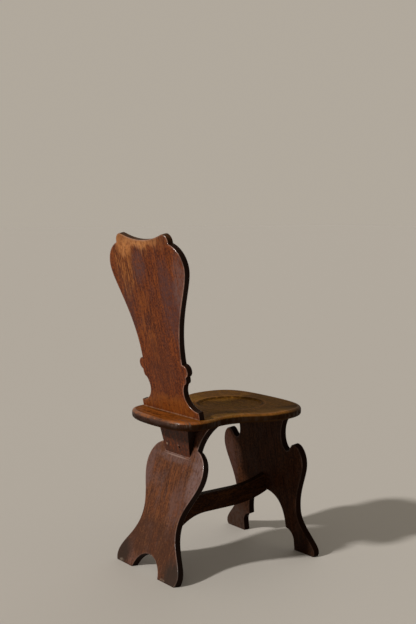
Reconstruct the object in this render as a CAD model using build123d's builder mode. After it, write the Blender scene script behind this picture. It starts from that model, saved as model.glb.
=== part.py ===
# Hall chair of shaped boards: a cartouche back that runs down through a dished seat,
# a shaped board under each end of the seat, and a serpentine stretcher between them.
# Millimetres, +Z up, the floor at Z = 0. The sitter faces -Y, and +X is the sitter's left.

import os
from math import cos, hypot, radians, sin, tan

from build123d import *

# Overall
seat_height = 450.0          # floor to the seat's top, at the foot of the back
seat_rise = 0.9              # degrees that the seat climbs towards its front edge
overrun = 12.0               # how far a cut or a board goes past the face that trims it
joint_gap = 0.15             # room on each side of a tail, tenon or peg in its seat
arris = 1.6                  # the worn rounding along a board's edges
corner_round = 2.0           # and at the corners of the back's outline

# Back board
back_thick = 18.0
back_lean = 11.3             # degrees from upright, the top further back
back_foot_y = 146.4          # the board's rear face where it meets the seat's top
back_base_half = 138.0
back_base_height = 21.4      # the square end of the base, above the seat
back_throat_half = 82.3
back_throat_rise = 46.6      # from the base's square end up to the throat
back_quirk_rise = 29.0       # from the throat up to the quirk under the bead
back_bead_half = 104.5       # the small bead under the knob
back_bead_rise = 15.0        # from its quirk to its widest place
back_bead_depth = 10.5       # how far the bead stands out of its quirk
back_knob_radius = 18.3
back_knob_rise = 24.0        # from the bead's widest place up to the knob's centre
back_knob_inset = 5.5        # the knob's centre, inwards from the bead's widest place
back_waist_inset = 2.0       # the waist, inwards from the knob's centre
back_shoulder_half = 182.5
back_shoulder_height = 428.0
back_brow_inset = 16.5       # inwards from the shoulder, where its round eases
back_brow_rise = 43.0
back_notch_inset = 38.0      # inwards from the brow
back_notch_rise = 23.6
back_ear_inset = 23.0        # from the notch in to the ear's highest point
back_ear_rise = 26.4
back_bow_dip = 17.7          # the middle of the bow, below the ears

# The back's tail, which passes through the seat and lies in the rear leg board
tail_top_half = 77.0         # at the seat's top
tail_foot_half = 57.5
tail_length = 132.6          # from the seat's top, along the board
housing_depth = 12.0         # how deep the tail's foot is let into the leg board

# Seat
seat_thick = 26.0
seat_top_round = 9.0
seat_under_round = 9.0
seat_back_y = 219.7
seat_front_y = -235.4
seat_shoulder_half = 156.0   # beside the back
seat_shoulder_y = 136.0
seat_waist_half = 143.5
seat_waist_y = 59.0
seat_wide_half = 201.0       # the widest place, near the front
seat_wide_y = -108.0
dish_radius = 103.0
dish_y = -71.6
dish_wall_width = 13.0       # from the lip to the foot of the dish's wall
dish_wall_depth = 5.0
dish_depth = 7.5             # at the dish's middle

# Rear leg board
rear_thick = 20.0
rear_splay = 20.0            # degrees from upright, the foot further back
rear_flush_drop = 126.1      # down the tail from the seat's top to where it sinks flush
rear_top_half = 120.0        # at the seat's underside
rear_neck_half = 84.0
rear_neck_drop = 79.7        # from the seat's underside to the neck's corner
rear_ear_half = 134.5
rear_ear_fall = 69.5         # from the neck's corner to the widest place
rear_waist_half = 86.5
rear_waist_height = 159.0
rear_sole_half = 143.0
rear_toe_reach = 7.5         # how far the toe stands out past the sole
rear_toe_height = 20.0
rear_arch_half = 63.5
rear_arch_height = 53.0

# Front leg board
front_thick = 21.0
front_splay = 6.3            # degrees from upright, the foot further forward
front_foot_y = -227.6        # the board's rear face at the floor
front_top_half = 142.0
front_neck_half = 97.5
front_neck_drop = 80.7
front_valley_reach = 20.5    # the hollow beside the neck, outwards from it
front_valley_fall = 37.0     # and down from it
front_crown_reach = 32.0     # the ear's highest place, outwards from the hollow
front_crown_rise = 24.0
front_ear_reach = 33.5       # the ear's widest place, outwards from its highest
front_ear_fall = 51.0
front_waist_half = 140.0
front_waist_height = 128.0
front_sole_half = 201.0
front_toe_reach = 5.5        # how far the toe stands out past the sole
front_toe_height = 12.0
front_heel_half = 118.0      # the foot's inner side
front_heel_height = 30.0
front_cusp_half = 85.5
front_cusp_height = 63.5
front_arch_height = 168.0

# Stretcher, a board on edge from leg board to leg board
stretcher_thick = 22.0
stretcher_deep = 56.0        # from its lower edge to its upper edge
stretcher_height = 140.0     # the lower edge along the level middle
stretcher_front_rise = 25.0  # how much higher the front end lies than the middle
stretcher_front_slope = 0.42
stretcher_rear_fall = 70.0   # how much lower the sweep at the rear ends
stretcher_level_front_y = -80.0
stretcher_level_rear_y = 22.0
stretcher_arris = 1.2

# Joints
tenon_deep = 13.0            # into the seat, short of its top
tenon_wide = 44.0
tenon_thick = 12.0
tenon_spacing_rear = 104.0
tenon_spacing_front = 120.0
stub_deep = 11.0             # the stretcher's tenon into a leg board
stub_thick = 10.0
stub_shoulder = 9.0          # above and below the stub
peg_radius = 4.0
peg_length = 30.0
peg_proud = 0.6
peg_drop = 102.0             # below the seat's top, along the tail
peg_offset = 15.0            # the pair's middle, towards the sitter's left
peg_spacing = 60.0
block_leg = 24.0             # each of a glue block's two glued faces
block_length = 52.0
block_spacing = 84.0

# Shares of a curve's height or width at which its handles lie
quarter_share = 0.5523       # the handle that draws a quarter of an ellipse
back_side_shares = (0.495, 0.19)
back_bow_shares = (0.92, 0.57)
seat_rear_shares = (0.745, 0.64)
seat_front_shares = (0.88, 0.7)
dish_wall_shares = (0.7, 0.3)
rear_foot_shares = (0.29, 0.465)
rear_ear_shares = (0.385, 0.33)
rear_brow_share = 0.12
front_foot_shares = (0.267, 0.474)
front_ear_shares = (0.43, 0.27)
front_valley_share = 0.42
front_arch_shares = (0.69, 0.61)
stretcher_sweep_shares = (0.515, 0.515)
stretcher_rise_share = 0.3

os.makedirs("parts", exist_ok=True)


def leaning(foot_y, lean, height=0.0):
    """A plane on a board's rear face: X along its width, Y up the board, Z towards its front."""
    up = Vector(0, sin(radians(lean)), cos(radians(lean)))
    return Plane(origin=(0, foot_y, height), x_dir=(1, 0, 0), z_dir=Vector(1, 0, 0).cross(up))


back_plane = leaning(back_foot_y, back_lean, seat_height)

# The rear leg board stands where the tail's rear face sinks flush with its own
flush = back_plane.from_local_coords((0, -rear_flush_drop, 0))
rear_foot_y = flush.Y + flush.Z * tan(radians(rear_splay))
rear_plane = leaning(rear_foot_y, -rear_splay)
front_plane = leaning(front_foot_y, front_splay)

# The seat's planes climb towards the front edge
seat_up = Vector(0, sin(radians(seat_rise)), cos(radians(seat_rise)))
seat_centre_height = seat_height + back_foot_y * tan(radians(seat_rise))
seat_top = Plane(origin=(0, 0, seat_centre_height), x_dir=(1, 0, 0), z_dir=seat_up)
seat_under = seat_top.offset(-seat_thick)


def climb_to(plane, target):
    """How far up a board's plane the target plane crosses it."""
    return (target.origin - plane.origin).dot(target.z_dir) / plane.y_dir.dot(target.z_dir)


def leg_of(radius, across):
    """How far along a circle reaches from its centre line, at some way across it."""
    return (radius ** 2 - across ** 2) ** 0.5


def swell(start, end, shares):
    """The control points of an S curve that leaves and arrives along the second axis."""
    climb = end[1] - start[1]
    return start, (start[0], start[1] + climb * shares[0]), (end[0], end[1] - climb * shares[1]), end


def quarter(start, end, upright_first):
    """The control points of a quarter ellipse, upright at one end and level at the other."""
    run = (end[0] - start[0]) * quarter_share
    climb = (end[1] - start[1]) * quarter_share
    if upright_first:
        return start, (start[0], start[1] + climb), (end[0] - run, end[1]), end
    return start, (start[0] + run, start[1]), (end[0], end[1] - climb), end


def ogee(start, end):
    """Two arcs that make an S curve, upright at both of its ends."""
    middle = ((start[0] + end[0]) / 2, (start[1] + end[1]) / 2)
    TangentArc(start, middle, tangent=(0, end[1] - start[1]))
    TangentArc(end, middle, tangent=(0, start[1] - end[1]))


def corners(sketch, points):
    """The corners of a sketch at some points and at their likenesses across the middle."""
    return [corner for corner in sketch.vertices() for x, y in points
            if hypot(abs(corner.X) - x, corner.Y - y) < joint_gap]


def broad_edges(part, plane):
    """The outlines of a board's two broad faces, but for the ends that are trimmed off."""
    broad = part.faces().filter_by(Axis((0, 0, 0), plane.z_dir)).sort_by(SortBy.AREA)[-2:]
    return broad.edges().filter_by(Axis.X, reverse=True)


# The tail, made with the gap round it when it cuts its slot and housing
def tail(gap):
    taper = (tail_top_half - tail_foot_half) / tail_length
    head_half = tail_top_half + taper * overrun + gap
    foot = tail_length + gap
    foot_half = tail_top_half - taper * foot + gap
    with BuildPart() as made:
        with BuildSketch(back_plane.offset(-gap)):
            with BuildLine():
                Polyline((-head_half, overrun), (head_half, overrun), (foot_half, -foot),
                         (-foot_half, -foot), close=True)
            make_face()
        extrude(amount=back_thick + gap * 2)
        split(bisect_by=rear_plane.offset(housing_depth + gap), keep=Keep.BOTTOM)
    return made.part


# The pair of tenons on a leg board's top, made with the gap when they cut their mortises
def tenons(plane, board_thick, spacing, gap):
    with BuildPart() as made:
        with BuildSketch(plane.offset((board_thick - tenon_thick) / 2 - gap)):
            with Locations((0, climb_to(plane, seat_under))):
                with GridLocations(spacing, 0, 2, 1):
                    Rectangle(tenon_wide + gap * 2, (tenon_deep + overrun) * 2)
        extrude(amount=tenon_thick + gap * 2)
        split(bisect_by=seat_under.offset(tenon_deep + gap), keep=Keep.BOTTOM)
    return made.part


# The stretcher's sweeping bar. Lift is how far its lower edge stands above the true one.
def serpentine(thick, deep, lift, into_board):
    rear_face = rear_plane.offset(rear_thick - into_board)
    rear_low = stretcher_height - stretcher_rear_fall
    rear_end_y = rear_foot_y - rear_low * tan(radians(rear_splay)) + overrun
    front_high = stretcher_height + stretcher_front_rise
    front_end_y = front_foot_y + front_high * tan(radians(front_splay))
    lead = (stretcher_level_front_y - front_end_y) * stretcher_rise_share
    sweep = rear_end_y - stretcher_level_rear_y
    past_y = front_end_y - overrun * 2
    past_high = front_high + overrun * 2 * stretcher_front_slope

    def edge(rise):
        Bezier((rear_end_y, rear_low + rise),
               (rear_end_y - sweep * stretcher_sweep_shares[0], rear_low + rise),
               (stretcher_level_rear_y + sweep * stretcher_sweep_shares[1], stretcher_height + rise),
               (stretcher_level_rear_y, stretcher_height + rise))
        Line((stretcher_level_rear_y, stretcher_height + rise),
             (stretcher_level_front_y, stretcher_height + rise))
        Bezier((stretcher_level_front_y, stretcher_height + rise),
               (stretcher_level_front_y - lead, stretcher_height + rise),
               (front_end_y + lead, front_high + rise - lead * stretcher_front_slope),
               (front_end_y, front_high + rise))
        Line((front_end_y, front_high + rise), (past_y, past_high + rise))

    with BuildPart() as made:
        with BuildSketch(Plane.YZ):
            with BuildLine():
                edge(lift)
                edge(lift + deep)
                Line((rear_end_y, rear_low + lift), (rear_end_y, rear_low + lift + deep))
                Line((past_y, past_high + lift), (past_y, past_high + lift + deep))
            make_face()
        extrude(amount=thick / 2, both=True)
        split(bisect_by=rear_face, keep=Keep.TOP)
        split(bisect_by=front_plane.offset(into_board), keep=Keep.BOTTOM)
    return made.part


def stub(gap):
    return serpentine(stub_thick + gap * 2, stretcher_deep - stub_shoulder * 2 + gap * 2,
                      stub_shoulder - gap, stub_deep + gap)


# The two pegs through the tail, or with the gap their holes
def pegs(gap):
    with BuildPart() as made:
        with BuildSketch(back_plane.offset(-peg_proud)):
            with Locations((peg_offset, -peg_drop)):
                with GridLocations(peg_spacing, 0, 2, 1):
                    Circle(peg_radius + gap)
        extrude(amount=peg_proud + peg_length + gap)
    return made.part


# The back board
with BuildPart() as back_board:
    with BuildSketch(back_plane) as back_outline:
        with BuildLine():
            base = (back_base_half, back_base_height)
            throat = (back_throat_half, back_base_height + back_throat_rise)
            quirk = (back_bead_half - back_bead_depth, throat[1] + back_quirk_rise)
            bead = (back_bead_half, quirk[1] + back_bead_rise)
            knob = (back_bead_half - back_knob_inset, bead[1] + back_knob_rise)
            knob_foot = (back_bead_half, knob[1] - leg_of(back_knob_radius, back_knob_inset))
            waist = (knob[0] - back_waist_inset, knob[1] + leg_of(back_knob_radius, back_waist_inset))
            shoulder = (back_shoulder_half, back_shoulder_height)
            brow = (back_shoulder_half - back_brow_inset, back_shoulder_height + back_brow_rise)
            notch = (brow[0] - back_notch_inset, brow[1] + back_notch_rise)
            ear = (notch[0] - back_ear_inset, notch[1] + back_ear_rise)
            dip_height = ear[1] - back_bow_dip
            Line((0, -overrun), (back_base_half, -overrun))
            Line((back_base_half, -overrun), base)
            Bezier(*quarter(base, throat, upright_first=False))
            TangentArc(throat, quirk, tangent=(0, 1))
            Bezier(*quarter(quirk, bead, upright_first=False))
            Line(bead, knob_foot)
            ThreePointArc(knob_foot, (knob[0] + back_knob_radius, knob[1]), waist)
            Bezier(*swell(waist, shoulder, back_side_shares))
            shoulder_arc = TangentArc(shoulder, brow, tangent=(0, 1))
            TangentArc(brow, notch, tangent=shoulder_arc.tangent_at(1))
            TangentArc(ear, notch, tangent=(1, 0))
            Bezier(ear, (ear[0] * back_bow_shares[0], ear[1]),
                   (ear[0] * back_bow_shares[1], dip_height), (0, dip_height))
            mirror(about=Plane.YZ)
        make_face()
        fillet(corners(back_outline, (base, quirk, knob_foot, waist, notch)), corner_round)
    extrude(amount=back_thick)
    fillet(broad_edges(back_board.part, back_plane), arris)
    split(bisect_by=seat_top, keep=Keep.TOP)
    add(tail(0))
    add(pegs(joint_gap), mode=Mode.SUBTRACT)
back_board.part.label = "back_board"
export_step(back_board.part, "parts/back_board.step")

# The seat
with BuildPart() as seat:
    with BuildSketch(seat_top):
        with BuildLine():
            back_side = seat_back_y - seat_shoulder_y
            front_side = seat_wide_y - seat_front_y
            seat_shoulder = (seat_shoulder_half, seat_shoulder_y)
            seat_waist = (seat_waist_half, seat_waist_y)
            seat_wide = (seat_wide_half, seat_wide_y)
            Bezier((0, seat_back_y), (seat_shoulder_half * seat_rear_shares[0], seat_back_y),
                   (seat_shoulder_half, seat_shoulder_y + back_side * seat_rear_shares[1]), seat_shoulder)
            ogee(seat_shoulder, seat_waist)
            ogee(seat_waist, seat_wide)
            Bezier(seat_wide, (seat_wide_half, seat_wide_y - front_side * seat_front_shares[0]),
                   (seat_wide_half * seat_front_shares[1], seat_front_y), (0, seat_front_y))
            mirror(about=Plane.YZ)
        make_face()
    extrude(amount=-seat_thick)
    fillet(seat.faces().sort_by(Axis.Z)[-1].edges(), seat_top_round)
    fillet(seat.faces().sort_by(Axis.Z)[0].edges(), seat_under_round)
    dish_centre = seat_top.from_local_coords((0, dish_y, 0))
    with BuildSketch(Plane(origin=dish_centre, x_dir=(1, 0, 0), z_dir=-seat_top.y_dir)):
        with BuildLine():
            dish_foot = dish_radius - dish_wall_width
            Polyline((0, -dish_depth), (0, overrun), (dish_radius, overrun), (dish_radius, 0))
            Bezier((dish_radius, 0), (dish_radius - dish_wall_width * dish_wall_shares[0], 0),
                   (dish_foot + dish_wall_width * dish_wall_shares[1], -dish_wall_depth),
                   (dish_foot, -dish_wall_depth))
            TangentArc((0, -dish_depth), (dish_foot, -dish_wall_depth), tangent=(1, 0))
        make_face()
    revolve(axis=Axis(dish_centre, seat_up), mode=Mode.SUBTRACT)
    add(tail(joint_gap), mode=Mode.SUBTRACT)
    add(tenons(rear_plane, rear_thick, tenon_spacing_rear, joint_gap), mode=Mode.SUBTRACT)
    add(tenons(front_plane, front_thick, tenon_spacing_front, joint_gap), mode=Mode.SUBTRACT)
seat.part.label = "seat"
export_step(seat.part, "parts/seat.step")

# The rear leg board
rear_length = climb_to(rear_plane, seat_under)
with BuildPart() as rear_leg_board:
    with BuildSketch(rear_plane):
        with BuildLine():
            rear_head = (rear_top_half, rear_length)
            rear_neck = (rear_neck_half, rear_length - rear_neck_drop)
            rear_ear = (rear_ear_half, rear_neck[1] - rear_ear_fall)
            rear_waist = (rear_waist_half, rear_waist_height)
            rear_toe = (rear_sole_half + rear_toe_reach, rear_toe_height)
            rear_round = quarter(rear_ear, rear_neck, upright_first=True)
            rear_brow = (rear_round[2][0], rear_neck[1] - rear_ear_fall * rear_brow_share)
            rear_flare = TangentArc(rear_neck, rear_head, tangent=(0, 1))
            rear_past = rear_flare.position_at(1) + rear_flare.tangent_at(1) * overrun
            Line(rear_flare @ 1, rear_past)
            Line(rear_past, (0, rear_past.Y))
            Bezier(rear_ear, rear_round[1], rear_brow, rear_neck)
            Bezier(*swell(rear_waist, rear_ear, rear_ear_shares))
            Bezier(*swell(rear_toe, rear_waist, rear_foot_shares))
            TangentArc(rear_toe, (rear_sole_half, 0), tangent=(0, -1))
            Polyline((rear_sole_half, 0), (rear_sole_half, -overrun),
                     (rear_arch_half, -overrun), (rear_arch_half, 0))
            mirror(about=Plane.YZ)
            ThreePointArc((rear_arch_half, 0), (0, rear_arch_height), (-rear_arch_half, 0))
        make_face()
    extrude(amount=rear_thick)
    fillet(broad_edges(rear_leg_board.part, rear_plane), arris)
    split(bisect_by=seat_under, keep=Keep.BOTTOM)
    split(bisect_by=Plane.XY, keep=Keep.TOP)
    add(tenons(rear_plane, rear_thick, tenon_spacing_rear, 0))
    add(tail(joint_gap), mode=Mode.SUBTRACT)
    add(stub(joint_gap), mode=Mode.SUBTRACT)
    add(pegs(joint_gap), mode=Mode.SUBTRACT)
rear_leg_board.part.label = "rear_leg_board"
export_step(rear_leg_board.part, "parts/rear_leg_board.step")

# The front leg board
front_length = climb_to(front_plane, seat_under)
with BuildPart() as front_leg_board:
    with BuildSketch(front_plane):
        with BuildLine():
            front_head = (front_top_half, front_length)
            front_neck = (front_neck_half, front_length - front_neck_drop)
            front_valley = (front_neck_half + front_valley_reach, front_neck[1] - front_valley_fall)
            front_crown = (front_valley[0] + front_crown_reach, front_valley[1] + front_crown_rise)
            front_ear = (front_crown[0] + front_ear_reach, front_crown[1] - front_ear_fall)
            front_waist = (front_waist_half, front_waist_height)
            front_toe = (front_sole_half + front_toe_reach, front_toe_height)
            front_heel = (front_heel_half, front_heel_height)
            front_cusp = (front_cusp_half, front_cusp_height)
            front_flare = TangentArc(front_neck, front_head, tangent=(0, 1))
            front_past = front_flare.position_at(1) + front_flare.tangent_at(1) * overrun
            Line(front_flare @ 1, front_past)
            Line(front_past, (0, front_past.Y))
            Bezier(*quarter(front_valley, front_neck, upright_first=False))
            valley_lead = front_crown_reach * front_valley_share
            Bezier(front_valley, (front_valley[0] + valley_lead, front_valley[1]),
                   (front_crown[0] - valley_lead, front_crown[1]), front_crown)
            Bezier(*quarter(front_ear, front_crown, upright_first=True))
            Bezier(*swell(front_waist, front_ear, front_ear_shares))
            Bezier(*swell(front_toe, front_waist, front_foot_shares))
            TangentArc(front_toe, (front_sole_half, 0), tangent=(0, -1))
            Polyline((front_sole_half, 0), (front_sole_half, -overrun),
                     (front_heel_half, -overrun), front_heel)
            TangentArc(front_heel, front_cusp, tangent=(0, 1))
            arch_lead = (front_arch_height - front_cusp_height) * front_arch_shares[0]
            Bezier(front_cusp, (front_cusp_half, front_cusp_height + arch_lead),
                   (front_cusp_half * front_arch_shares[1], front_arch_height), (0, front_arch_height))
            mirror(about=Plane.YZ)
        make_face()
    extrude(amount=front_thick)
    fillet(broad_edges(front_leg_board.part, front_plane), arris)
    split(bisect_by=seat_under, keep=Keep.BOTTOM)
    split(bisect_by=Plane.XY, keep=Keep.TOP)
    add(tenons(front_plane, front_thick, tenon_spacing_front, 0))
    add(stub(joint_gap), mode=Mode.SUBTRACT)
front_leg_board.part.label = "front_leg_board"
export_step(front_leg_board.part, "parts/front_leg_board.step")

# The stretcher
with BuildPart() as stretcher:
    add(serpentine(stretcher_thick, stretcher_deep, 0, 0))
    side_edges = stretcher.faces().filter_by(Axis.X).edges()
    fillet(side_edges.filter_by(GeomType.LINE, reverse=True) + side_edges.filter_by(Axis.Y),
           stretcher_arris)
    add(stub(0))
stretcher.part.label = "stretcher"
export_step(stretcher.part, "parts/stretcher.step")

# The pegs that pin the tail to the rear leg board
with BuildPart() as tail_pegs:
    add(pegs(0))
tail_pegs.part.label = "tail_pegs"
export_step(tail_pegs.part, "parts/tail_pegs.step")


# A pair of glue blocks rubbed into the corner between a leg board and the seat's underside
def glue_blocks(plane, into_seat):
    corner = plane.from_local_coords((0, climb_to(plane, seat_under)))
    along = corner + into_seat * block_leg
    down = corner - plane.y_dir * block_leg
    with BuildPart() as made:
        for side in (-1, 1):
            with BuildSketch(Plane.YZ.offset(side * block_spacing / 2)):
                with BuildLine():
                    Polyline((corner.Y, corner.Z), (along.Y, along.Z), (down.Y, down.Z), close=True)
                make_face()
            extrude(amount=block_length / 2, both=True)
    return made.part


with BuildPart() as front_glue_blocks:
    add(glue_blocks(front_plane, seat_top.y_dir))
front_glue_blocks.part.label = "front_glue_blocks"
export_step(front_glue_blocks.part, "parts/front_glue_blocks.step")

with BuildPart() as rear_glue_blocks:
    add(glue_blocks(rear_plane.offset(rear_thick), -seat_top.y_dir))
rear_glue_blocks.part.label = "rear_glue_blocks"
export_step(rear_glue_blocks.part, "parts/rear_glue_blocks.step")
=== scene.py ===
from math import cos, hypot, radians, sin

import bmesh
import bpy
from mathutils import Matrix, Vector


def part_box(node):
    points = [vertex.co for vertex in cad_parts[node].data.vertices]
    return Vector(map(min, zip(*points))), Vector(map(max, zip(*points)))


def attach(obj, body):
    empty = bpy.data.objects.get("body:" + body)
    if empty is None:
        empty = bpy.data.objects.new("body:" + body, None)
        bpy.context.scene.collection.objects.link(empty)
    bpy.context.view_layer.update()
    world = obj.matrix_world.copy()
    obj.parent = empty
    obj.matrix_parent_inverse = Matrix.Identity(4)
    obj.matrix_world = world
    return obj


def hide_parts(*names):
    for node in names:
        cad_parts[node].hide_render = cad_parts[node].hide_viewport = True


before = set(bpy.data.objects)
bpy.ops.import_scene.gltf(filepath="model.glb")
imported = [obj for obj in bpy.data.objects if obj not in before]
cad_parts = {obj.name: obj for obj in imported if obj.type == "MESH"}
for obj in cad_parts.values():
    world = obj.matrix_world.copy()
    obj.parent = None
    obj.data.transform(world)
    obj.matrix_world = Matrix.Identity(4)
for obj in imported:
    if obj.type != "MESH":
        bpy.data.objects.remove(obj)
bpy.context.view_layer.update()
print("hall chair: frame loaded")


# Small helpers for the node trees
def addNode(tree, kind, inputs=None, **settings):
    made = tree.nodes.new(kind)
    for name, value in settings.items():
        setattr(made, name, value)
    for name, value in (inputs or {}).items():
        socket = made.inputs[name]
        if isinstance(value, bpy.types.NodeSocket):
            tree.links.new(value, socket)
        else:
            socket.default_value = value
    return made


def arithmetic(tree, operation, first, second=0.0, third=0.0, clamp=False):
    return addNode(tree, "ShaderNodeMath", {0: first, 1: second, 2: third},
                   operation=operation, use_clamp=clamp).outputs[0]


def rescale(tree, vector, factors):
    return addNode(tree, "ShaderNodeVectorMath", {0: vector, 1: factors},
                   operation="MULTIPLY").outputs[0]


def shift(tree, vector, offset):
    return addNode(tree, "ShaderNodeVectorMath", {0: vector, 1: offset},
                   operation="ADD").outputs[0]


def lengthOf(tree, vector):
    return addNode(tree, "ShaderNodeVectorMath", {0: vector}, operation="LENGTH").outputs["Value"]


def cloud(tree, vector, factors, detail, roughness, distortion=0.0):
    return addNode(tree, "ShaderNodeTexNoise",
                   {"Vector": rescale(tree, vector, factors), "Scale": 1.0, "Detail": detail,
                    "Roughness": roughness, "Distortion": distortion}).outputs["Fac"]


def between(tree, value, low, high, lowest=0.0, highest=1.0):
    return addNode(tree, "ShaderNodeMapRange",
                   {"Value": value, "From Min": low, "From Max": high,
                    "To Min": lowest, "To Max": highest},
                   interpolation_type="SMOOTHSTEP").outputs["Result"]


# A mix node takes its colours at inputs 6 and 7, and gives the mixed one at output 2
def tint(tree, factor, under, over):
    made = addNode(tree, "ShaderNodeMix", data_type="RGBA")
    for index, value in ((0, factor), (6, under), (7, over)):
        if isinstance(value, bpy.types.NodeSocket):
            tree.links.new(value, made.inputs[index])
        elif index:
            made.inputs[index].default_value = (*value, 1.0)
        else:
            made.inputs[index].default_value = value
    return made.outputs[2]


def ramp(tree, factor, stops):
    made = addNode(tree, "ShaderNodeValToRGB", {"Fac": factor})
    band = made.color_ramp.elements
    while len(band) < len(stops):
        band.new(0.5)
    for element, (place, colour) in zip(band, stops):
        element.position = place
        element.color = (*colour, 1.0)
    return made.outputs["Color"]


# A ragged patch round a point of the board, in metres across, through and along it. It is gone
# and full at these shares of its reach.
patchLook = {"gone": 1.4, "full": 0.5, "ragged": 1.6}


def patch(tree, along, spot, ragged):
    moved = rescale(tree, shift(tree, along, [-part for part in spot["centre"]]),
                    [1 / part for part in spot["reach"]])
    far = arithmetic(tree, "MULTIPLY_ADD", ragged, spot.get("ragged", patchLook["ragged"]),
                     lengthOf(tree, moved))
    return between(tree, far, patchLook["gone"], patchLook["full"], 0.0, spot["strength"])


# Noise in all the wood: its fineness across, through and along a board, its detail and its
# roughness. The grain's own fineness comes with each board.
noiseLook = {
    "bands": (3.0, 0.6), "flecks": (4.0, 0.68), "fibres": (2.0, 0.6),
    "pores": ((1300.0, 1300.0, 75.0), 1.0, 0.4),
    "clouds": ((19.0, 19.0, 10.0), 4.0, 0.66),
    "mottle": ((34.0, 34.0, 90.0), 2.0, 0.6, 0.4),
    "smears": ((26.0, 26.0, 11.0), 4.0, 0.68),
    "specks": ((200.0, 200.0, 140.0), 3.0, 0.7),
    "spots": ((95.0, 95.0, 62.0), 4.0, 0.7),
    "uneven": ((46.0, 46.0, 30.0), 3.0, 0.65),
    "hollows": ((24.0, 24.0, 10.0), 1.0, 0.5),
}

# How the growth lines wander, how the grain is mixed, and where its three colours lie
grainLook = {
    "drift": (5.0, 5.0, 2.6), "driftDetail": 1.0, "driftMiddle": (-0.5, -0.5, -0.5),
    "smearShift": (3.1, 1.7, 5.3), "smearMiddle": 0.5,
    "fibres": 0.24, "flecks": 0.50, "bands": 0.26, "stops": (0.41, 0.5, 0.59),
}

# The values where each mask starts and is full, then its least and greatest strength
maskLook = {
    "warm": (0.5, 0.7), "bloomAndSheen": (0.48, 0.64), "dim": (0.42, 0.7, 0.0, 0.25),
    "darkSpecks": (0.49, 0.60, 0.0, 0.7), "lightSpecks": (0.50, 0.38, 0.0, 0.5),
    "spotty": (0.40, 0.56, 0.35, 1.0),
    "streaks": (0.45, 0.55), "streakSpots": (0.40, 0.56, 0.3, 1.0),
    "side": (0.75, 0.3), "pores": (0.66, 0.74, 0.0, 0.55),
    "uneven": (0.38, 0.64, 0.08, 1.0), "rubbed": (0.46, 0.6),
}

# The pores' shade, what makes the wood duller or glossier, and its relief's heights in metres
finishLook = {
    "poreShade": 0.35, "flecks": 0.16, "clouds": 0.24, "rubbed": 0.1, "edge": -0.22,
    "sideGloss": -0.7, "polishGloss": 0.7, "coatRoughness": 0.16,
}
reliefLook = {"fibres": 0.00014, "pores": -0.0001, "mottle": 0.00025, "hollows": 0.0011,
              "strength": 0.8}


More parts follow.
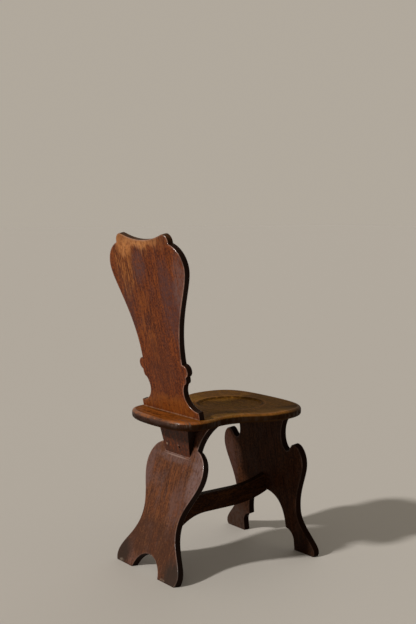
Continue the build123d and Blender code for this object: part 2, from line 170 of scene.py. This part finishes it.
# Old waxed wood. A board's turn and move bring its grain upright, with its foot at nought.
def oldWood(name, look):
    material = bpy.data.materials.new(name)
    material.use_nodes = True
    tree = material.node_tree
    shader = tree.nodes["Principled BSDF"]
    place = addNode(tree, "ShaderNodeTexCoord")
    along = addNode(tree, "ShaderNodeMapping",
                    {"Vector": place.outputs["Object"], "Rotation": look["turn"],
                     "Location": look["move"]}).outputs[0]

    # the growth lines wander a little, and cross the board at a slant
    drift = addNode(tree, "ShaderNodeTexNoise",
                    {"Vector": rescale(tree, along, grainLook["drift"]), "Scale": 1.0,
                     "Detail": grainLook["driftDetail"]})
    drift = rescale(tree, shift(tree, drift.outputs["Color"], grainLook["driftMiddle"]),
                    (look["wander"], look["wander"], 0.0))
    grain = addNode(tree, "ShaderNodeMapping",
                    {"Vector": shift(tree, along, drift),
                     "Rotation": (0.0, radians(look["slant"]), 0.0)}).outputs[0]

    bands = cloud(tree, grain, look["bands"], *noiseLook["bands"])
    flecks = cloud(tree, grain, look["flecks"], *noiseLook["flecks"])
    fibres = cloud(tree, grain, look["fibres"], *noiseLook["fibres"])
    pores = cloud(tree, grain, *noiseLook["pores"])
    clouds = cloud(tree, along, *noiseLook["clouds"])
    mottle = cloud(tree, along, *noiseLook["mottle"])
    smears = cloud(tree, shift(tree, along, grainLook["smearShift"]), *noiseLook["smears"])

    streak = arithmetic(tree, "MULTIPLY", fibres, grainLook["fibres"])
    streak = arithmetic(tree, "MULTIPLY_ADD", flecks, grainLook["flecks"], streak)
    streak = arithmetic(tree, "MULTIPLY_ADD", bands, grainLook["bands"], streak)
    colour = ramp(tree, streak,
                  list(zip(grainLook["stops"], (look["dark"], look["body"], look["light"]))))

    # redder smears, cool hazy clouds over them, partly old wax bloom and partly a painted sheen,
    # and fine specks
    warm = between(tree, smears, *maskLook["warm"], 0.0, look["warmShare"])
    colour = tint(tree, warm, colour, look["warm"])
    bloomAndSheen = between(tree, clouds, *maskLook["bloomAndSheen"], 0.0, look["bloomAndSheenShare"])
    colour = tint(tree, bloomAndSheen, colour, look["bloomAndSheen"])
    colour = tint(tree, between(tree, mottle, *maskLook["dim"]), colour, look["dark"])
    specks = cloud(tree, along, *noiseLook["specks"])
    colour = tint(tree, between(tree, specks, *maskLook["darkSpecks"]), colour, look["dark"])
    colour = tint(tree, between(tree, specks, *maskLook["lightSpecks"]), colour, look["light"])

    # patches of their own colour, broken up by spots, by the grain, or kept to the edges
    edge = addNode(tree, "ShaderNodeAttribute", attribute_name="wear").outputs["Fac"]
    ragged = arithmetic(tree, "SUBTRACT", smears, grainLook["smearMiddle"])
    spots = cloud(tree, along, *noiseLook["spots"])
    streaky = arithmetic(tree, "MULTIPLY", between(tree, streak, *maskLook["streaks"]),
                         between(tree, spots, *maskLook["streakSpots"]))
    broken = {"whole": 1.0, "edge": edge, "streaky": streaky,
              "spotty": between(tree, spots, *maskLook["spotty"])}

    def patched(under, late):
        for spot in look["patches"]:
            if spot.get("late", False) == late:
                mask = arithmetic(tree, "MULTIPLY", patch(tree, along, spot, ragged),
                                  broken[spot.get("kind", "spotty")])
                under = tint(tree, mask, under, spot["colour"])
        return under

    # sawn and shaped sides drank more stain than the planed faces, and their near-black colour is
    # partly painted shade
    facing = addNode(tree, "ShaderNodeVectorMath",
                     {0: place.outputs["Normal"], 1: look["faceWay"]},
                     operation="DOT_PRODUCT").outputs["Value"]
    side = between(tree, arithmetic(tree, "ABSOLUTE", facing),
                   *look.get("turnsAt", maskLook["side"]), 0.0, look["sideShare"])
    colour = tint(tree, side, patched(colour, False), look["side"])

    # a dark ring in the corner of the round dish, grime with painted shade of its wall, and its
    # lip rubbed bare with a painted highlight
    if "dish" in look:
        dish = look["dish"]
        outwards = lengthOf(tree, rescale(tree, shift(tree, along, dish["move"]), dish["press"]))
        for ring in dish["rings"]:
            away = arithmetic(tree, "SUBTRACT", outwards, ring["radius"])
            away = arithmetic(tree, "ABSOLUTE", away)
            mask = between(tree, away, ring["half"], ring["half"] * dish["coreShare"],
                           0.0, ring["strength"])
            mask = arithmetic(tree, "MULTIPLY", mask, broken["spotty"])
            colour = tint(tree, mask, colour, ring["colour"])

    # open pores, seen close up
    openPores = between(tree, pores, *maskLook["pores"])
    colour = tint(tree, openPores, colour,
                  [part * finishLook["poreShade"] for part in look["dark"]])

    # worn arrises, rubbed pale in places and smooth all along
    uneven = between(tree, cloud(tree, along, *noiseLook["uneven"]), *maskLook["uneven"])
    worn = arithmetic(tree, "MULTIPLY", arithmetic(tree, "MULTIPLY", edge, uneven),
                      look["wornShare"])
    colour = patched(tint(tree, worn, colour, look["worn"]), True)

    # the flecks and clouds make the wax duller and shinier by turns
    evenDull = look["rough"] - (finishLook["flecks"] + finishLook["clouds"]) / 2
    dull = arithmetic(tree, "MULTIPLY_ADD", flecks, finishLook["flecks"], evenDull)
    dull = arithmetic(tree, "MULTIPLY_ADD", clouds, finishLook["clouds"], dull)
    rubbed = arithmetic(tree, "MULTIPLY", side, between(tree, flecks, *maskLook["rubbed"]))
    dull = arithmetic(tree, "MULTIPLY_ADD", rubbed, look.get("rimDull", finishLook["rubbed"]),
                      dull)
    dull = arithmetic(tree, "MULTIPLY_ADD", edge, finishLook["edge"], dull, clamp=True)

    # the sides stay matt, and the arrises and an oiled rim take the most polish
    polish = arithmetic(tree, "MULTIPLY", edge, look["polish"])
    polish = arithmetic(tree, "MULTIPLY_ADD", rubbed, look.get("rimPolish", 0.0), polish)
    gloss = arithmetic(tree, "MULTIPLY_ADD", side, finishLook["sideGloss"] * look["sheen"],
                       look["sheen"])
    gloss = arithmetic(tree, "MULTIPLY_ADD", polish, finishLook["polishGloss"], gloss)
    wax = arithmetic(tree, "ADD", polish, look["wax"], clamp=True)

    tree.links.new(colour, shader.inputs["Base Color"])
    tree.links.new(dull, shader.inputs["Roughness"])
    tree.links.new(gloss, shader.inputs["Specular IOR Level"])
    tree.links.new(wax, shader.inputs["Coat Weight"])
    shader.inputs["Coat Roughness"].default_value = finishLook["coatRoughness"]

    # the surface itself: open grain, small dents, and a hand plane's hollows
    hollows = cloud(tree, along, *noiseLook["hollows"])
    height = arithmetic(tree, "MULTIPLY", fibres, reliefLook["fibres"])
    for relief, rise in ((openPores, reliefLook["pores"]), (bands, look["ridge"]),
                         (mottle, reliefLook["mottle"]), (hollows, reliefLook["hollows"])):
        height = arithmetic(tree, "MULTIPLY_ADD", relief, rise, height)
    bump = addNode(tree, "ShaderNodeBump",
                   {"Height": height, "Distance": 1.0, "Strength": reliefLook["strength"]})
    tree.links.new(bump.outputs[0], shader.inputs["Normal"])
    return material


# Degrees that the boards lean, and that the seat climbs towards its front edge
slopes = {"back": 11.3, "seat": 0.9, "rear": -20.0, "front": 6.3}


# The way that a board's rear face looks, or a seat's top
def leanWay(lean):
    return Vector((0.0, cos(radians(lean)), -sin(radians(lean))))


# Lengths in metres. A face counts as broad or sawn by how squarely it looks a board's way.
wearLook = {
    "merge": 0.00002, "border": 0.0028, "broad": 0.9995, "sawn": 0.06,
    "borderMark": 0.8, "roundFrom": 0.15, "roundSpan": 0.5,
}
sharpAngle = 32.0


# A board's copy, with its worn arrises marked on the mesh, each spot by its own share
def wornBoard(nodeName, pieceName, look, slotName, share):
    faceWay = Vector(look["faceWay"])
    shape = bmesh.new()
    shape.from_mesh(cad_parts[nodeName].data)
    bmesh.ops.remove_doubles(shape, verts=shape.verts, dist=wearLook["merge"])
    shape.normal_update()

    # a narrow border on the broad faces keeps the wear at their edges
    broad = [face for face in shape.faces
             if abs(face.normal.dot(faceWay)) > wearLook["broad"]]
    bmesh.ops.inset_region(shape, faces=broad, thickness=wearLook["border"],
                           use_even_offset=False)
    low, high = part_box(nodeName)
    for vert in shape.verts:
        vert.co = [min(max(part, low[axis]), high[axis]) for axis, part in enumerate(vert.co)]
    shape.normal_update()
    wear = shape.verts.layers.float.new("wear")
    for vert in shape.verts:
        slants = [abs(face.normal.dot(faceWay)) for face in vert.link_faces]
        if min(slants) < wearLook["sawn"] or min(slants) > wearLook["broad"]:
            mark = 0.0
        elif max(slants) > wearLook["broad"]:
            mark = wearLook["borderMark"]
        else:
            mean = sum(slants) / len(slants)
            mark = min(max((mean - wearLook["roundFrom"]) / wearLook["roundSpan"], 0.0), 1.0)
        vert[wear] = mark * share(vert.co)
    mesh = bpy.data.meshes.new(pieceName)
    shape.to_mesh(mesh)
    shape.free()
    finishPiece(mesh, pieceName, oldWood(pieceName + "Wood", look), slotName, nodeName)


# Shades a piece afresh, and puts it in place of its nodes
def finishPiece(mesh, pieceName, material, slotName, *nodeNames):
    for name in ("custom_normal", "sharp_face"):
        old = mesh.attributes.get(name)
        if old:
            mesh.attributes.remove(old)
    mesh.materials.clear()
    mesh.materials.append(material)
    mesh.shade_smooth()
    mesh.set_sharp_from_angle(angle=radians(sharpAngle))
    piece = bpy.data.objects.new(pieceName, mesh)
    bpy.context.scene.collection.objects.link(piece)
    evened = piece.modifiers.new("evenShading", "WEIGHTED_NORMAL")
    evened.keep_sharp = True
    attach(piece, "root")
    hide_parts(*nodeNames)


# The back: reddish brown, gone golden where hands take hold of its top
backLook = {
    "turn": (radians(slopes["back"]), 0.0, 0.0), "move": (0.0, -0.0554, -0.4700),
    "faceWay": leanWay(slopes["back"]),
    "wander": 0.016, "slant": -1.0, "bands": (64.0, 30.0, 6.0), "flecks": (170.0, 80.0, 16.0),
    "fibres": (440.0, 200.0, 24.0), "ridge": 0.0002,
    "dark": (0.042, 0.007, 0.002), "body": (0.118, 0.023, 0.004), "light": (0.232, 0.057, 0.010),
    # the hazy clouds' colour: old wax bloom with a painted sheen
    "bloomAndSheen": (0.094, 0.031, 0.021), "bloomAndSheenShare": 0.55,
    "warm": (0.230, 0.054, 0.007), "warmShare": 0.5,
    "side": (0.010, 0.004, 0.002), "sideShare": 0.97,
    "worn": (0.460, 0.230, 0.160), "wornShare": 0.55,
    "wear": {"tailTop": 0.40, "leftFrom": 0.02, "leftTop": 0.84, "left": 0.4},
    "rough": 0.44, "sheen": 0.11, "wax": 0.03, "polish": 0.65,
    "patches": [
        {"centre": (-0.100, 0.0, 0.330), "reach": (0.060, 1.0, 0.110), "strength": 0.8,
         "colour": (0.080, 0.031, 0.028), "ragged": 2.4},
        {"centre": (0.120, 0.0, 0.300), "reach": (0.040, 1.0, 0.080), "strength": 0.65,
         "colour": (0.066, 0.025, 0.021), "ragged": 2.4},
        {"centre": (0.000, 0.0, 0.130), "reach": (0.060, 1.0, 0.090), "strength": 0.6,
         "colour": (0.076, 0.019, 0.007), "ragged": 2.4},
        {"centre": (0.040, 0.0, 0.260), "reach": (0.040, 1.0, 0.090), "strength": 0.9,
         "colour": (0.230, 0.064, 0.011), "ragged": 2.4, "kind": "streaky"},
        {"centre": (0.095, 0.0, 0.500), "reach": (0.046, 1.0, 0.036), "strength": 0.9,
         "colour": (0.500, 0.200, 0.066), "ragged": 2.2},
        {"centre": (0.010, 0.0, 0.502), "reach": (0.070, 1.0, 0.018), "strength": 0.9,
         "colour": (0.530, 0.225, 0.080), "ragged": 2.2},
        {"centre": (-0.006, 0.0, 0.488), "reach": (0.020, 1.0, 0.028), "strength": 0.85,
         "colour": (0.480, 0.190, 0.054), "ragged": 2.4, "kind": "streaky"},
        {"centre": (-0.070, 0.0, 0.500), "reach": (0.040, 1.0, 0.024), "strength": 0.6,
         "colour": (0.300, 0.105, 0.034), "ragged": 2.0, "kind": "streaky"},
        {"centre": (0.114, 0.0, 0.436), "reach": (0.050, 1.0, 0.082), "strength": 0.8,
         "colour": (0.340, 0.125, 0.032), "ragged": 2.6, "kind": "streaky"},
        {"centre": (0.032, 0.0, 0.428), "reach": (0.032, 1.0, 0.046), "strength": 0.7,
         "colour": (0.078, 0.038, 0.038), "ragged": 2.2},
        # a painted sheen: pale lilac ripples of reflected light on the right of the face
        {"centre": (-0.150, 0.0, 0.385), "reach": (0.028, 1.0, 0.085), "strength": 0.65,
         "colour": (0.150, 0.076, 0.064), "ragged": 2.2},
        {"centre": (0.0, 0.0, 0.028), "reach": (0.150, 1.0, 0.026), "strength": 0.65,
         "colour": (0.225, 0.068, 0.012), "ragged": 2.2},
        # painted shadow of the seat's overhang over the tail
        {"centre": (0.0, 0.0, -0.105), "reach": (0.200, 1.0, 0.075), "strength": 0.85,
         "colour": (0.036, 0.013, 0.008), "ragged": 0.6},
        {"centre": (0.0, 0.0, -0.1360), "reach": (0.300, 1.0, 0.0062), "strength": 0.9,
         "colour": (0.005, 0.002, 0.001), "ragged": 0.0, "kind": "whole", "late": True},
        {"centre": (0.0, 0.0, 0.0014), "reach": (0.600, 1.0, 0.0020), "strength": 0.7,
         "colour": (0.300, 0.170, 0.110), "ragged": 1.6},
        {"centre": (0.130, 0.0, 0.270), "reach": (0.090, 1.0, 0.150), "strength": 0.8,
         "colour": (0.030, 0.018, 0.018), "kind": "edge", "late": True},
        {"centre": (0.0, 0.0, 0.528), "reach": (0.400, 1.0, 0.030), "strength": 0.45,
         "colour": (0.130, 0.055, 0.020), "ragged": 0.6, "late": True},
        {"centre": (-0.0102, 0.0, -0.0970), "reach": (0.0024, 1.0, 0.0022), "strength": 0.6,
         "colour": (0.280, 0.190, 0.150), "ragged": 0.0, "kind": "whole", "late": True},
    ],
}


# The tail takes no wear, and the sitter's left edge less of it below the shoulder
def backShare(spot):
    wear = backLook["wear"]
    if spot.z < wear["tailTop"]:
        return 0.0
    return wear["left"] if spot.x > wear["leftFrom"] and spot.z < wear["leftTop"] else 1.0


wornBoard("back_board", "backBoard", backLook, "back", backShare)

# The seat: its grain runs from side to side, so its ends are ridged
seatLook = {
    "turn": (radians(90.0), radians(-90.0), 0.0), "move": (0.0, 0.45, 0.0),
    "faceWay": leanWay(slopes["seat"] - 90.0),
    "wander": 0.010, "slant": 2.0, "bands": (95.0, 8.0, 2.6), "flecks": (150.0, 30.0, 12.0),
    "fibres": (420.0, 40.0, 14.0), "ridge": 0.0006,
    "dark": (0.084, 0.037, 0.004), "body": (0.163, 0.071, 0.009), "light": (0.260, 0.112, 0.015),
    "bloomAndSheen": (0.138, 0.080, 0.012), "bloomAndSheenShare": 0.4,
    "warm": (0.220, 0.080, 0.009), "warmShare": 0.35,
    "side": (0.022, 0.009, 0.003), "sideShare": 0.97, "turnsAt": (0.60, 0.12),
    "worn": (0.420, 0.150, 0.045), "wornShare": 0.4,
    "wear": {"underEdge": 0.44, "rearFrom": 0.16, "rear": 0.5, "rest": 0.15},
    "rough": 0.50, "sheen": 0.01, "wax": 0.0, "polish": 0.45, "rimDull": -0.12, "rimPolish": 0.09,
    "patches": [
        # painted shadow of the back over the far side of the seat's top
        {"centre": (0.175, 0.0, 0.155), "reach": (0.120, 1.0, 0.120), "strength": 0.85,
         "colour": (0.068, 0.027, 0.006), "ragged": 0.8},
        # painted shade at the seat's front corner on the near side
        {"centre": (0.192, 0.0, -0.184), "reach": (0.062, 1.0, 0.038), "strength": 0.85,
         "colour": (0.036, 0.017, 0.005), "ragged": 0.8, "kind": "whole"},
        {"centre": (-0.200, 0.0, 0.0), "reach": (0.060, 1.0, 0.400), "strength": 0.85,
         "colour": (0.290, 0.080, 0.014), "ragged": 0.8, "kind": "whole"},
        {"centre": (-0.190, 0.0, 0.0), "reach": (0.060, 1.0, 0.400), "strength": 0.9,
         "colour": (0.035, 0.009, 0.002), "ragged": 1.6, "kind": "streaky"},
        {"centre": (-0.190, 0.0, 0.180), "reach": (0.060, 1.0, 0.060), "strength": 0.6,
         "colour": (0.070, 0.030, 0.013), "ragged": 1.6},
        # an orange line along the near rim: rubbed wear, with a painted highlight of the light
        # skimming it
        {"centre": (-0.040, 0.0, -0.186), "reach": (0.150, 1.0, 0.040), "strength": 0.7,
         "colour": (0.300, 0.110, 0.024), "ragged": 1.2},
        # painted shadow of the back, narrowing the lit band along the near rim
        {"centre": (0.105, 0.0, -0.163), "reach": (0.090, 1.0, 0.025), "strength": 0.75,
         "colour": (0.055, 0.027, 0.006), "ragged": 0.5, "kind": "whole"},
        {"centre": (-0.050, 0.0, -0.102), "reach": (0.070, 1.0, 0.024), "strength": 0.6,
         "colour": (0.070, 0.033, 0.007), "ragged": 0.8, "kind": "whole"},
        # painted sheen: a plum satin haze of reflected light on the rear rim
        {"centre": (-0.205, 0.013, 0.060), "reach": (0.045, 0.010, 0.200), "strength": 0.7,
         "colour": (0.084, 0.044, 0.036), "ragged": 0.8, "late": True},
        # painted highlight: pale streaks of reflected light on the rear rim
        {"centre": (-0.187, 0.010, -0.108), "reach": (0.034, 0.012, 0.042), "strength": 0.7,
         "colour": (0.165, 0.112, 0.088), "ragged": 1.0, "kind": "streaky", "late": True},
        # painted shade: the under half of the seat's edge made near black
        {"centre": (0.0, 0.030, 0.0), "reach": (9.0, 0.018, 9.0), "strength": 0.9,
         "colour": (0.014, 0.006, 0.003), "ragged": 0.0, "kind": "whole", "late": True},
    ],
    "dish": {
        "middle": (0.0, -0.0716), "reach": 0.1035,
        "move": (-0.0716, 0.0034, 0.0), "press": (1.0, 5.0, 1.0), "coreShare": 0.25,
        "rings": [
            # the wall's foot: grime and painted shade
            {"radius": 0.0975, "half": 0.0036, "strength": 0.75, "colour": (0.020, 0.008, 0.002)},
            # the lip: rubbed bare, with a painted highlight
            {"radius": 0.1058, "half": 0.0042, "strength": 0.6, "colour": (0.310, 0.125, 0.030)},
        ],
    },
}


# The dish and the under edge take no wear, the rear edge some, and the rest little
def seatShare(spot):
    wear, dish = seatLook["wear"], seatLook["dish"]
    across, along = (part - mid for part, mid in zip(spot.xy, dish["middle"]))
    if spot.z < wear["underEdge"] or hypot(across, along) < dish["reach"]:
        return 0.0
    return wear["rear"] if spot.y > wear["rearFrom"] else wear["rest"]


wornBoard("seat", "dishedSeat", seatLook, "seat", seatShare)

# The rear leg board: lilac with old wax, and scuffed dark at its feet
rearLook = {
    "turn": (radians(slopes["rear"]), 0.0, 0.0), "move": (0.0, -0.2258, 0.0822),
    "faceWay": leanWay(slopes["rear"]),
    "wander": 0.016, "slant": -2.0, "bands": (60.0, 30.0, 6.0), "flecks": (155.0, 70.0, 16.0),
    "fibres": (380.0, 200.0, 22.0), "ridge": 0.0002,
    "dark": (0.042, 0.013, 0.006), "body": (0.082, 0.028, 0.012), "light": (0.150, 0.056, 0.022),
    "bloomAndSheen": (0.118, 0.062, 0.051), "bloomAndSheenShare": 0.68,
    "warm": (0.190, 0.052, 0.014), "warmShare": 0.6,
    "side": (0.010, 0.004, 0.002), "sideShare": 0.97,
    "worn": (0.400, 0.260, 0.220), "wornShare": 0.6,
    "rough": 0.47, "sheen": 0.10, "wax": 0.03, "polish": 0.5,
    "patches": [
        {"centre": (0.0, 0.0, 0.090), "reach": (0.300, 1.0, 0.056), "strength": 0.8,
         "colour": (0.050, 0.018, 0.009), "ragged": 2.0},
        {"centre": (0.010, 0.0, 0.250), "reach": (0.070, 1.0, 0.080), "strength": 0.7,
         "colour": (0.165, 0.050, 0.014), "ragged": 2.4, "kind": "streaky"},
        {"centre": (0.112, 0.0, 0.290), "reach": (0.026, 1.0, 0.080), "strength": 0.6,
         "colour": (0.130, 0.072, 0.064), "ragged": 2.2},
        # painted highlight: lit lilac sheen along the upper right arris
        {"centre": (-0.112, 0.0, 0.290), "reach": (0.030, 1.0, 0.080), "strength": 0.8,
         "colour": (0.165, 0.101, 0.093), "ragged": 2.2},
        {"centre": (-0.060, 0.0, 0.220), "reach": (0.030, 1.0, 0.070), "strength": 0.6,
         "colour": (0.110, 0.058, 0.050), "ragged": 2.2},
        {"centre": (0.145, 0.0, 0.022), "reach": (0.050, 1.0, 0.055), "strength": 0.9,
         "colour": (0.026, 0.015, 0.010), "kind": "whole"},
        {"centre": (-0.140, 0.0, 0.022), "reach": (0.050, 1.0, 0.055), "strength": 0.9,
         "colour": (0.028, 0.017, 0.012), "kind": "whole"},
        {"centre": (0.120, 0.0, 0.005), "reach": (0.010, 1.0, 0.003), "strength": 0.5,
         "colour": (0.200, 0.160, 0.125), "ragged": 3.0},
        {"centre": (-0.085, 0.0, 0.004), "reach": (0.009, 1.0, 0.003), "strength": 0.5,
         "colour": (0.200, 0.160, 0.125), "ragged": 3.0},
        {"centre": (0.0, 0.0, 0.336), "reach": (0.080, 1.0, 0.014), "strength": 0.6,
         "colour": (0.140, 0.084, 0.075), "ragged": 2.0},
        # a painted highlight: the pale line on the lit lower arris of the tail's housing
        {"centre": (0.0, 0.0, 0.3412), "reach": (0.055, 0.012, 0.0020), "strength": 0.7,
         "colour": (0.270, 0.180, 0.150), "ragged": 0.2, "kind": "whole", "late": True},
    ],
}


# Boots and brooms have dulled the toes, so their arrises stay darker. The wear grows up to its
# full height in metres.
toeWear = {"full": 0.35, "least": 0.3}


def toeShare(spot):
    return min(max(spot.z / toeWear["full"], toeWear["least"]), 1.0)


wornBoard("rear_leg_board", "rearLegBoard", rearLook, "rear_leg", toeShare)

# The front leg board and the stretcher: painted much darker for the shade they stand in under the
# seat, and seldom waxed
frontLook = dict(
    rearLook, turn=(radians(slopes["front"]), 0.0, 0.0), move=(0.0, 0.2262, 0.0250),
    faceWay=leanWay(slopes["front"]),
    dark=(0.014, 0.005, 0.002), body=(0.034, 0.012, 0.005), light=(0.066, 0.024, 0.010),
    bloomAndSheen=(0.050, 0.025, 0.018), warm=(0.070, 0.022, 0.008),
    worn=(0.100, 0.058, 0.044), sheen=0.02, wax=0.0, polish=0.1,
    patches=[
        # painted light: the ear and foot on the sitter's left made paler where the lamp reaches
        # them
        {"centre": (0.165, 0.0, 0.220), "reach": (0.040, 1.0, 0.130), "strength": 0.7,
         "colour": (0.078, 0.040, 0.033), "ragged": 2.0},
        {"centre": (0.175, 0.0, 0.040), "reach": (0.070, 1.0, 0.060), "strength": 0.8,
         "colour": (0.050, 0.032, 0.025)},
        {"centre": (-0.175, 0.0, 0.030), "reach": (0.055, 1.0, 0.055), "strength": 0.75,
         "colour": (0.016, 0.009, 0.006)},
    ])
wornBoard("front_leg_board", "frontLegBoard", frontLook, "front_leg", toeShare)

# painted shade: the stretcher's colours are darkened for the shade under the seat
stretcherLook = dict(
    backLook, turn=(radians(90.0), 0.0, 0.0), move=(0.0, 0.14, 0.0), faceWay=(1.0, 0.0, 0.0),
    dark=(0.010, 0.003, 0.001), body=(0.024, 0.008, 0.002), light=(0.050, 0.017, 0.004),
    bloomAndSheen=(0.028, 0.012, 0.007), warm=(0.054, 0.016, 0.004), side=(0.026, 0.010, 0.003),
    sideShare=0.5, worn=(0.080, 0.040, 0.022), sheen=0.02, wax=0.0, polish=0.05, patches=[])
wornBoard("stretcher", "stretcherBoard", stretcherLook, "stretcher", toeShare)
print("hall chair: boards worn and waxed")


# The tail's pegs: one flush and pale, the other sunk in a dark hole. Lengths are in metres.
pegLook = {
    "foot": (0.0, 0.1464, 0.45), "drop": 0.102, "radius": 0.004, "length": 0.0298,
    "flush": {"across": 0.045, "proud": 0.0005, "hollow": 0.0},
    "sunk": {"across": -0.015, "proud": 0.0004, "hollow": 0.009},
    "segments": 28, "bevel": 0.0003, "bevelSteps": 2, "bevelProfile": 0.5,
    "rims": (0.0002, 0.0001), "near": 0.001,
}


# The face of a peg that looks out of the tail
def pegEnd(shape, across, outward):
    near = [face for face in shape.faces
            if abs(face.calc_center_median().x - across) < pegLook["near"]]
    return max(near, key=lambda face: face.calc_center_median().dot(outward))


def tailPegs():
    tilt = radians(slopes["back"])
    up = Vector((0.0, sin(tilt), cos(tilt)))
    outward = leanWay(slopes["back"])
    shape = bmesh.new()
    for peg in (pegLook["flush"], pegLook["sunk"]):
        middle = (Vector(pegLook["foot"]) - up * pegLook["drop"]
                  + outward * (peg["proud"] - pegLook["length"] / 2))
        middle.x = peg["across"]
        made = bmesh.ops.create_cone(
            shape, cap_ends=True, segments=pegLook["segments"], radius1=pegLook["radius"],
            radius2=pegLook["radius"], depth=pegLook["length"])["verts"]
        bmesh.ops.rotate(shape, verts=made, cent=(0.0, 0.0, 0.0),
                         matrix=outward.to_track_quat("Z", "Y").to_matrix())
        bmesh.ops.translate(shape, verts=made, vec=middle)
        bmesh.ops.bevel(shape, geom=list(pegEnd(shape, peg["across"], outward).edges),
                        offset=pegLook["bevel"], offset_type="OFFSET",
                        segments=pegLook["bevelSteps"], profile=pegLook["bevelProfile"],
                        affect="EDGES", material=-1)
        if peg["hollow"]:
            end = pegEnd(shape, peg["across"], outward)
            for rim in pegLook["rims"]:
                bmesh.ops.inset_region(shape, faces=[end], thickness=rim, use_even_offset=True)
            bmesh.ops.translate(shape, verts=end.verts, vec=-outward * peg["hollow"])
    mesh = bpy.data.meshes.new("tailPegs")
    shape.to_mesh(mesh)
    shape.free()
    return mesh


pegWoodLook = dict(
    backLook,
    dark=(0.13, 0.07, 0.045), body=(0.24, 0.15, 0.105), light=(0.36, 0.24, 0.17),
    bloomAndSheen=(0.24, 0.17, 0.135), warm=(0.28, 0.16, 0.10), side=(0.04, 0.02, 0.012), sideShare=0.9,
    patches=[
        # painted shade inside the sunk peg's hole and round its end
        {"centre": (-0.015, -0.006, -0.102), "reach": (0.012, 0.004, 0.012), "strength": 1.0,
         "colour": (0.004, 0.002, 0.001), "ragged": 0.0, "kind": "whole", "late": True},
        {"centre": (-0.015, 0.0, -0.102), "reach": (0.008, 0.004, 0.008), "strength": 0.85,
         "colour": (0.030, 0.015, 0.010), "ragged": 0.0, "kind": "whole", "late": True},
    ])
finishPiece(tailPegs(), "tailPegPair", oldWood("pegWood", pegWoodLook), "pegs", "tail_pegs")

# The glue blocks out of sight under the seat: sawn, and never waxed
blockLook = dict(
    stretcherLook, turn=(0.0, radians(90.0), 0.0), move=(0.0, 0.0, 0.0), rough=0.72,
    dark=(0.060, 0.030, 0.015), body=(0.115, 0.060, 0.032), light=(0.180, 0.100, 0.055),
    bloomAndSheen=(0.105, 0.070, 0.045), warm=(0.150, 0.075, 0.035), side=(0.100, 0.055, 0.030))
blockWood = oldWood("blockWood", blockLook)
for nodeName in ("front_glue_blocks", "rear_glue_blocks"):
    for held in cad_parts[nodeName].material_slots:
        held.material = blockWood
print("hall chair: pegs and blocks")

# A pale, matt floor, wide enough to fill the picture
floorLook = {"colour": (0.56, 0.53, 0.49), "size": 120.0, "roughness": 0.9, "gloss": 0.1}
floorShape = bmesh.new()
bmesh.ops.create_grid(floorShape, x_segments=1, y_segments=1, size=floorLook["size"] / 2)
floorMesh = bpy.data.meshes.new("floor")
floorShape.to_mesh(floorMesh)
floorShape.free()
floorPaint = bpy.data.materials.new("paleFloor")
floorPaint.use_nodes = True
floorInputs = floorPaint.node_tree.nodes["Principled BSDF"].inputs
floorInputs["Base Color"].default_value = (*floorLook["colour"], 1.0)
floorInputs["Roughness"].default_value = floorLook["roughness"]
floorInputs["Specular IOR Level"].default_value = floorLook["gloss"]
floorMesh.materials.append(floorPaint)
floor = bpy.data.objects.new("floor", floorMesh)
bpy.context.scene.collection.objects.link(floor)

# The room lights the chair softly, and looks as pale as the floor
roomLook = {"light": (0.27, 0.247, 0.21), "seen": (0.438, 0.394, 0.334), "strength": 1.0}
world = bpy.data.worlds.new("studio")
world.use_nodes = True
room = world.node_tree
ray = addNode(room, "ShaderNodeLightPath").outputs
looking = arithmetic(room, "MAXIMUM", ray["Is Camera Ray"], ray["Is Glossy Ray"])
looking = arithmetic(room, "MAXIMUM", looking, ray["Is Transmission Ray"])
roomColour = tint(room, looking, roomLook["light"], roomLook["seen"])
room.links.new(roomColour, room.nodes["Background"].inputs["Color"])
room.nodes["Background"].inputs["Strength"].default_value = roomLook["strength"]
bpy.context.scene.world = world

# Where the light comes from: bearing clockwise from the rear, climb and softness in degrees
lampLooks = {
    "broadLamp": {"bearing": 9.0, "climb": 33.0, "softness": 4.0, "strength": 2.6,
                  "colour": (1.0, 0.965, 0.92), "mirrored": True},
    "frontFill": {"bearing": 150.0, "climb": 16.0, "softness": 60.0, "strength": 0.5,
                  "colour": (1.0, 0.98, 0.96), "mirrored": False},
}
for name, lampLook in lampLooks.items():
    lamp = bpy.data.lights.new(name, "SUN")
    lamp.energy = lampLook["strength"]
    lamp.angle = radians(lampLook["softness"])
    lamp.color = lampLook["colour"]
    bearing, climb = radians(lampLook["bearing"]), radians(lampLook["climb"])
    lampHolder = bpy.data.objects.new(name, lamp)
    lampHolder.rotation_euler = Vector((
        sin(bearing) * cos(climb), cos(bearing) * cos(climb),
        sin(climb))).to_track_quat("Z", "Y").to_euler()
    lampHolder.visible_glossy = lampLook["mirrored"]
    bpy.context.scene.collection.objects.link(lampHolder)

# The photograph's camera, as solved from it: metres, degrees and picture points
cameraLook = {"place": (-2.25635, 1.74193, 1.0171), "pitch": 5.747, "bearing": 232.517,
              "focalPixels": 982.04, "imageHeight": 624, "sensorWidth": 36.0}
cameraData = bpy.data.cameras.new("photoCamera")
cameraData.sensor_width = cameraLook["sensorWidth"]
cameraData.lens = cameraLook["focalPixels"] * cameraData.sensor_width / cameraLook["imageHeight"]
camera = bpy.data.objects.new("photoCamera", cameraData)
camera.location = cameraLook["place"]
camera.rotation_euler = (radians(90.0 - cameraLook["pitch"]), 0.0, radians(cameraLook["bearing"]))
bpy.context.scene.collection.objects.link(camera)
bpy.context.scene.camera = camera
bpy.context.scene.view_settings.view_transform = "Standard"
print("hall chair: lit and framed")
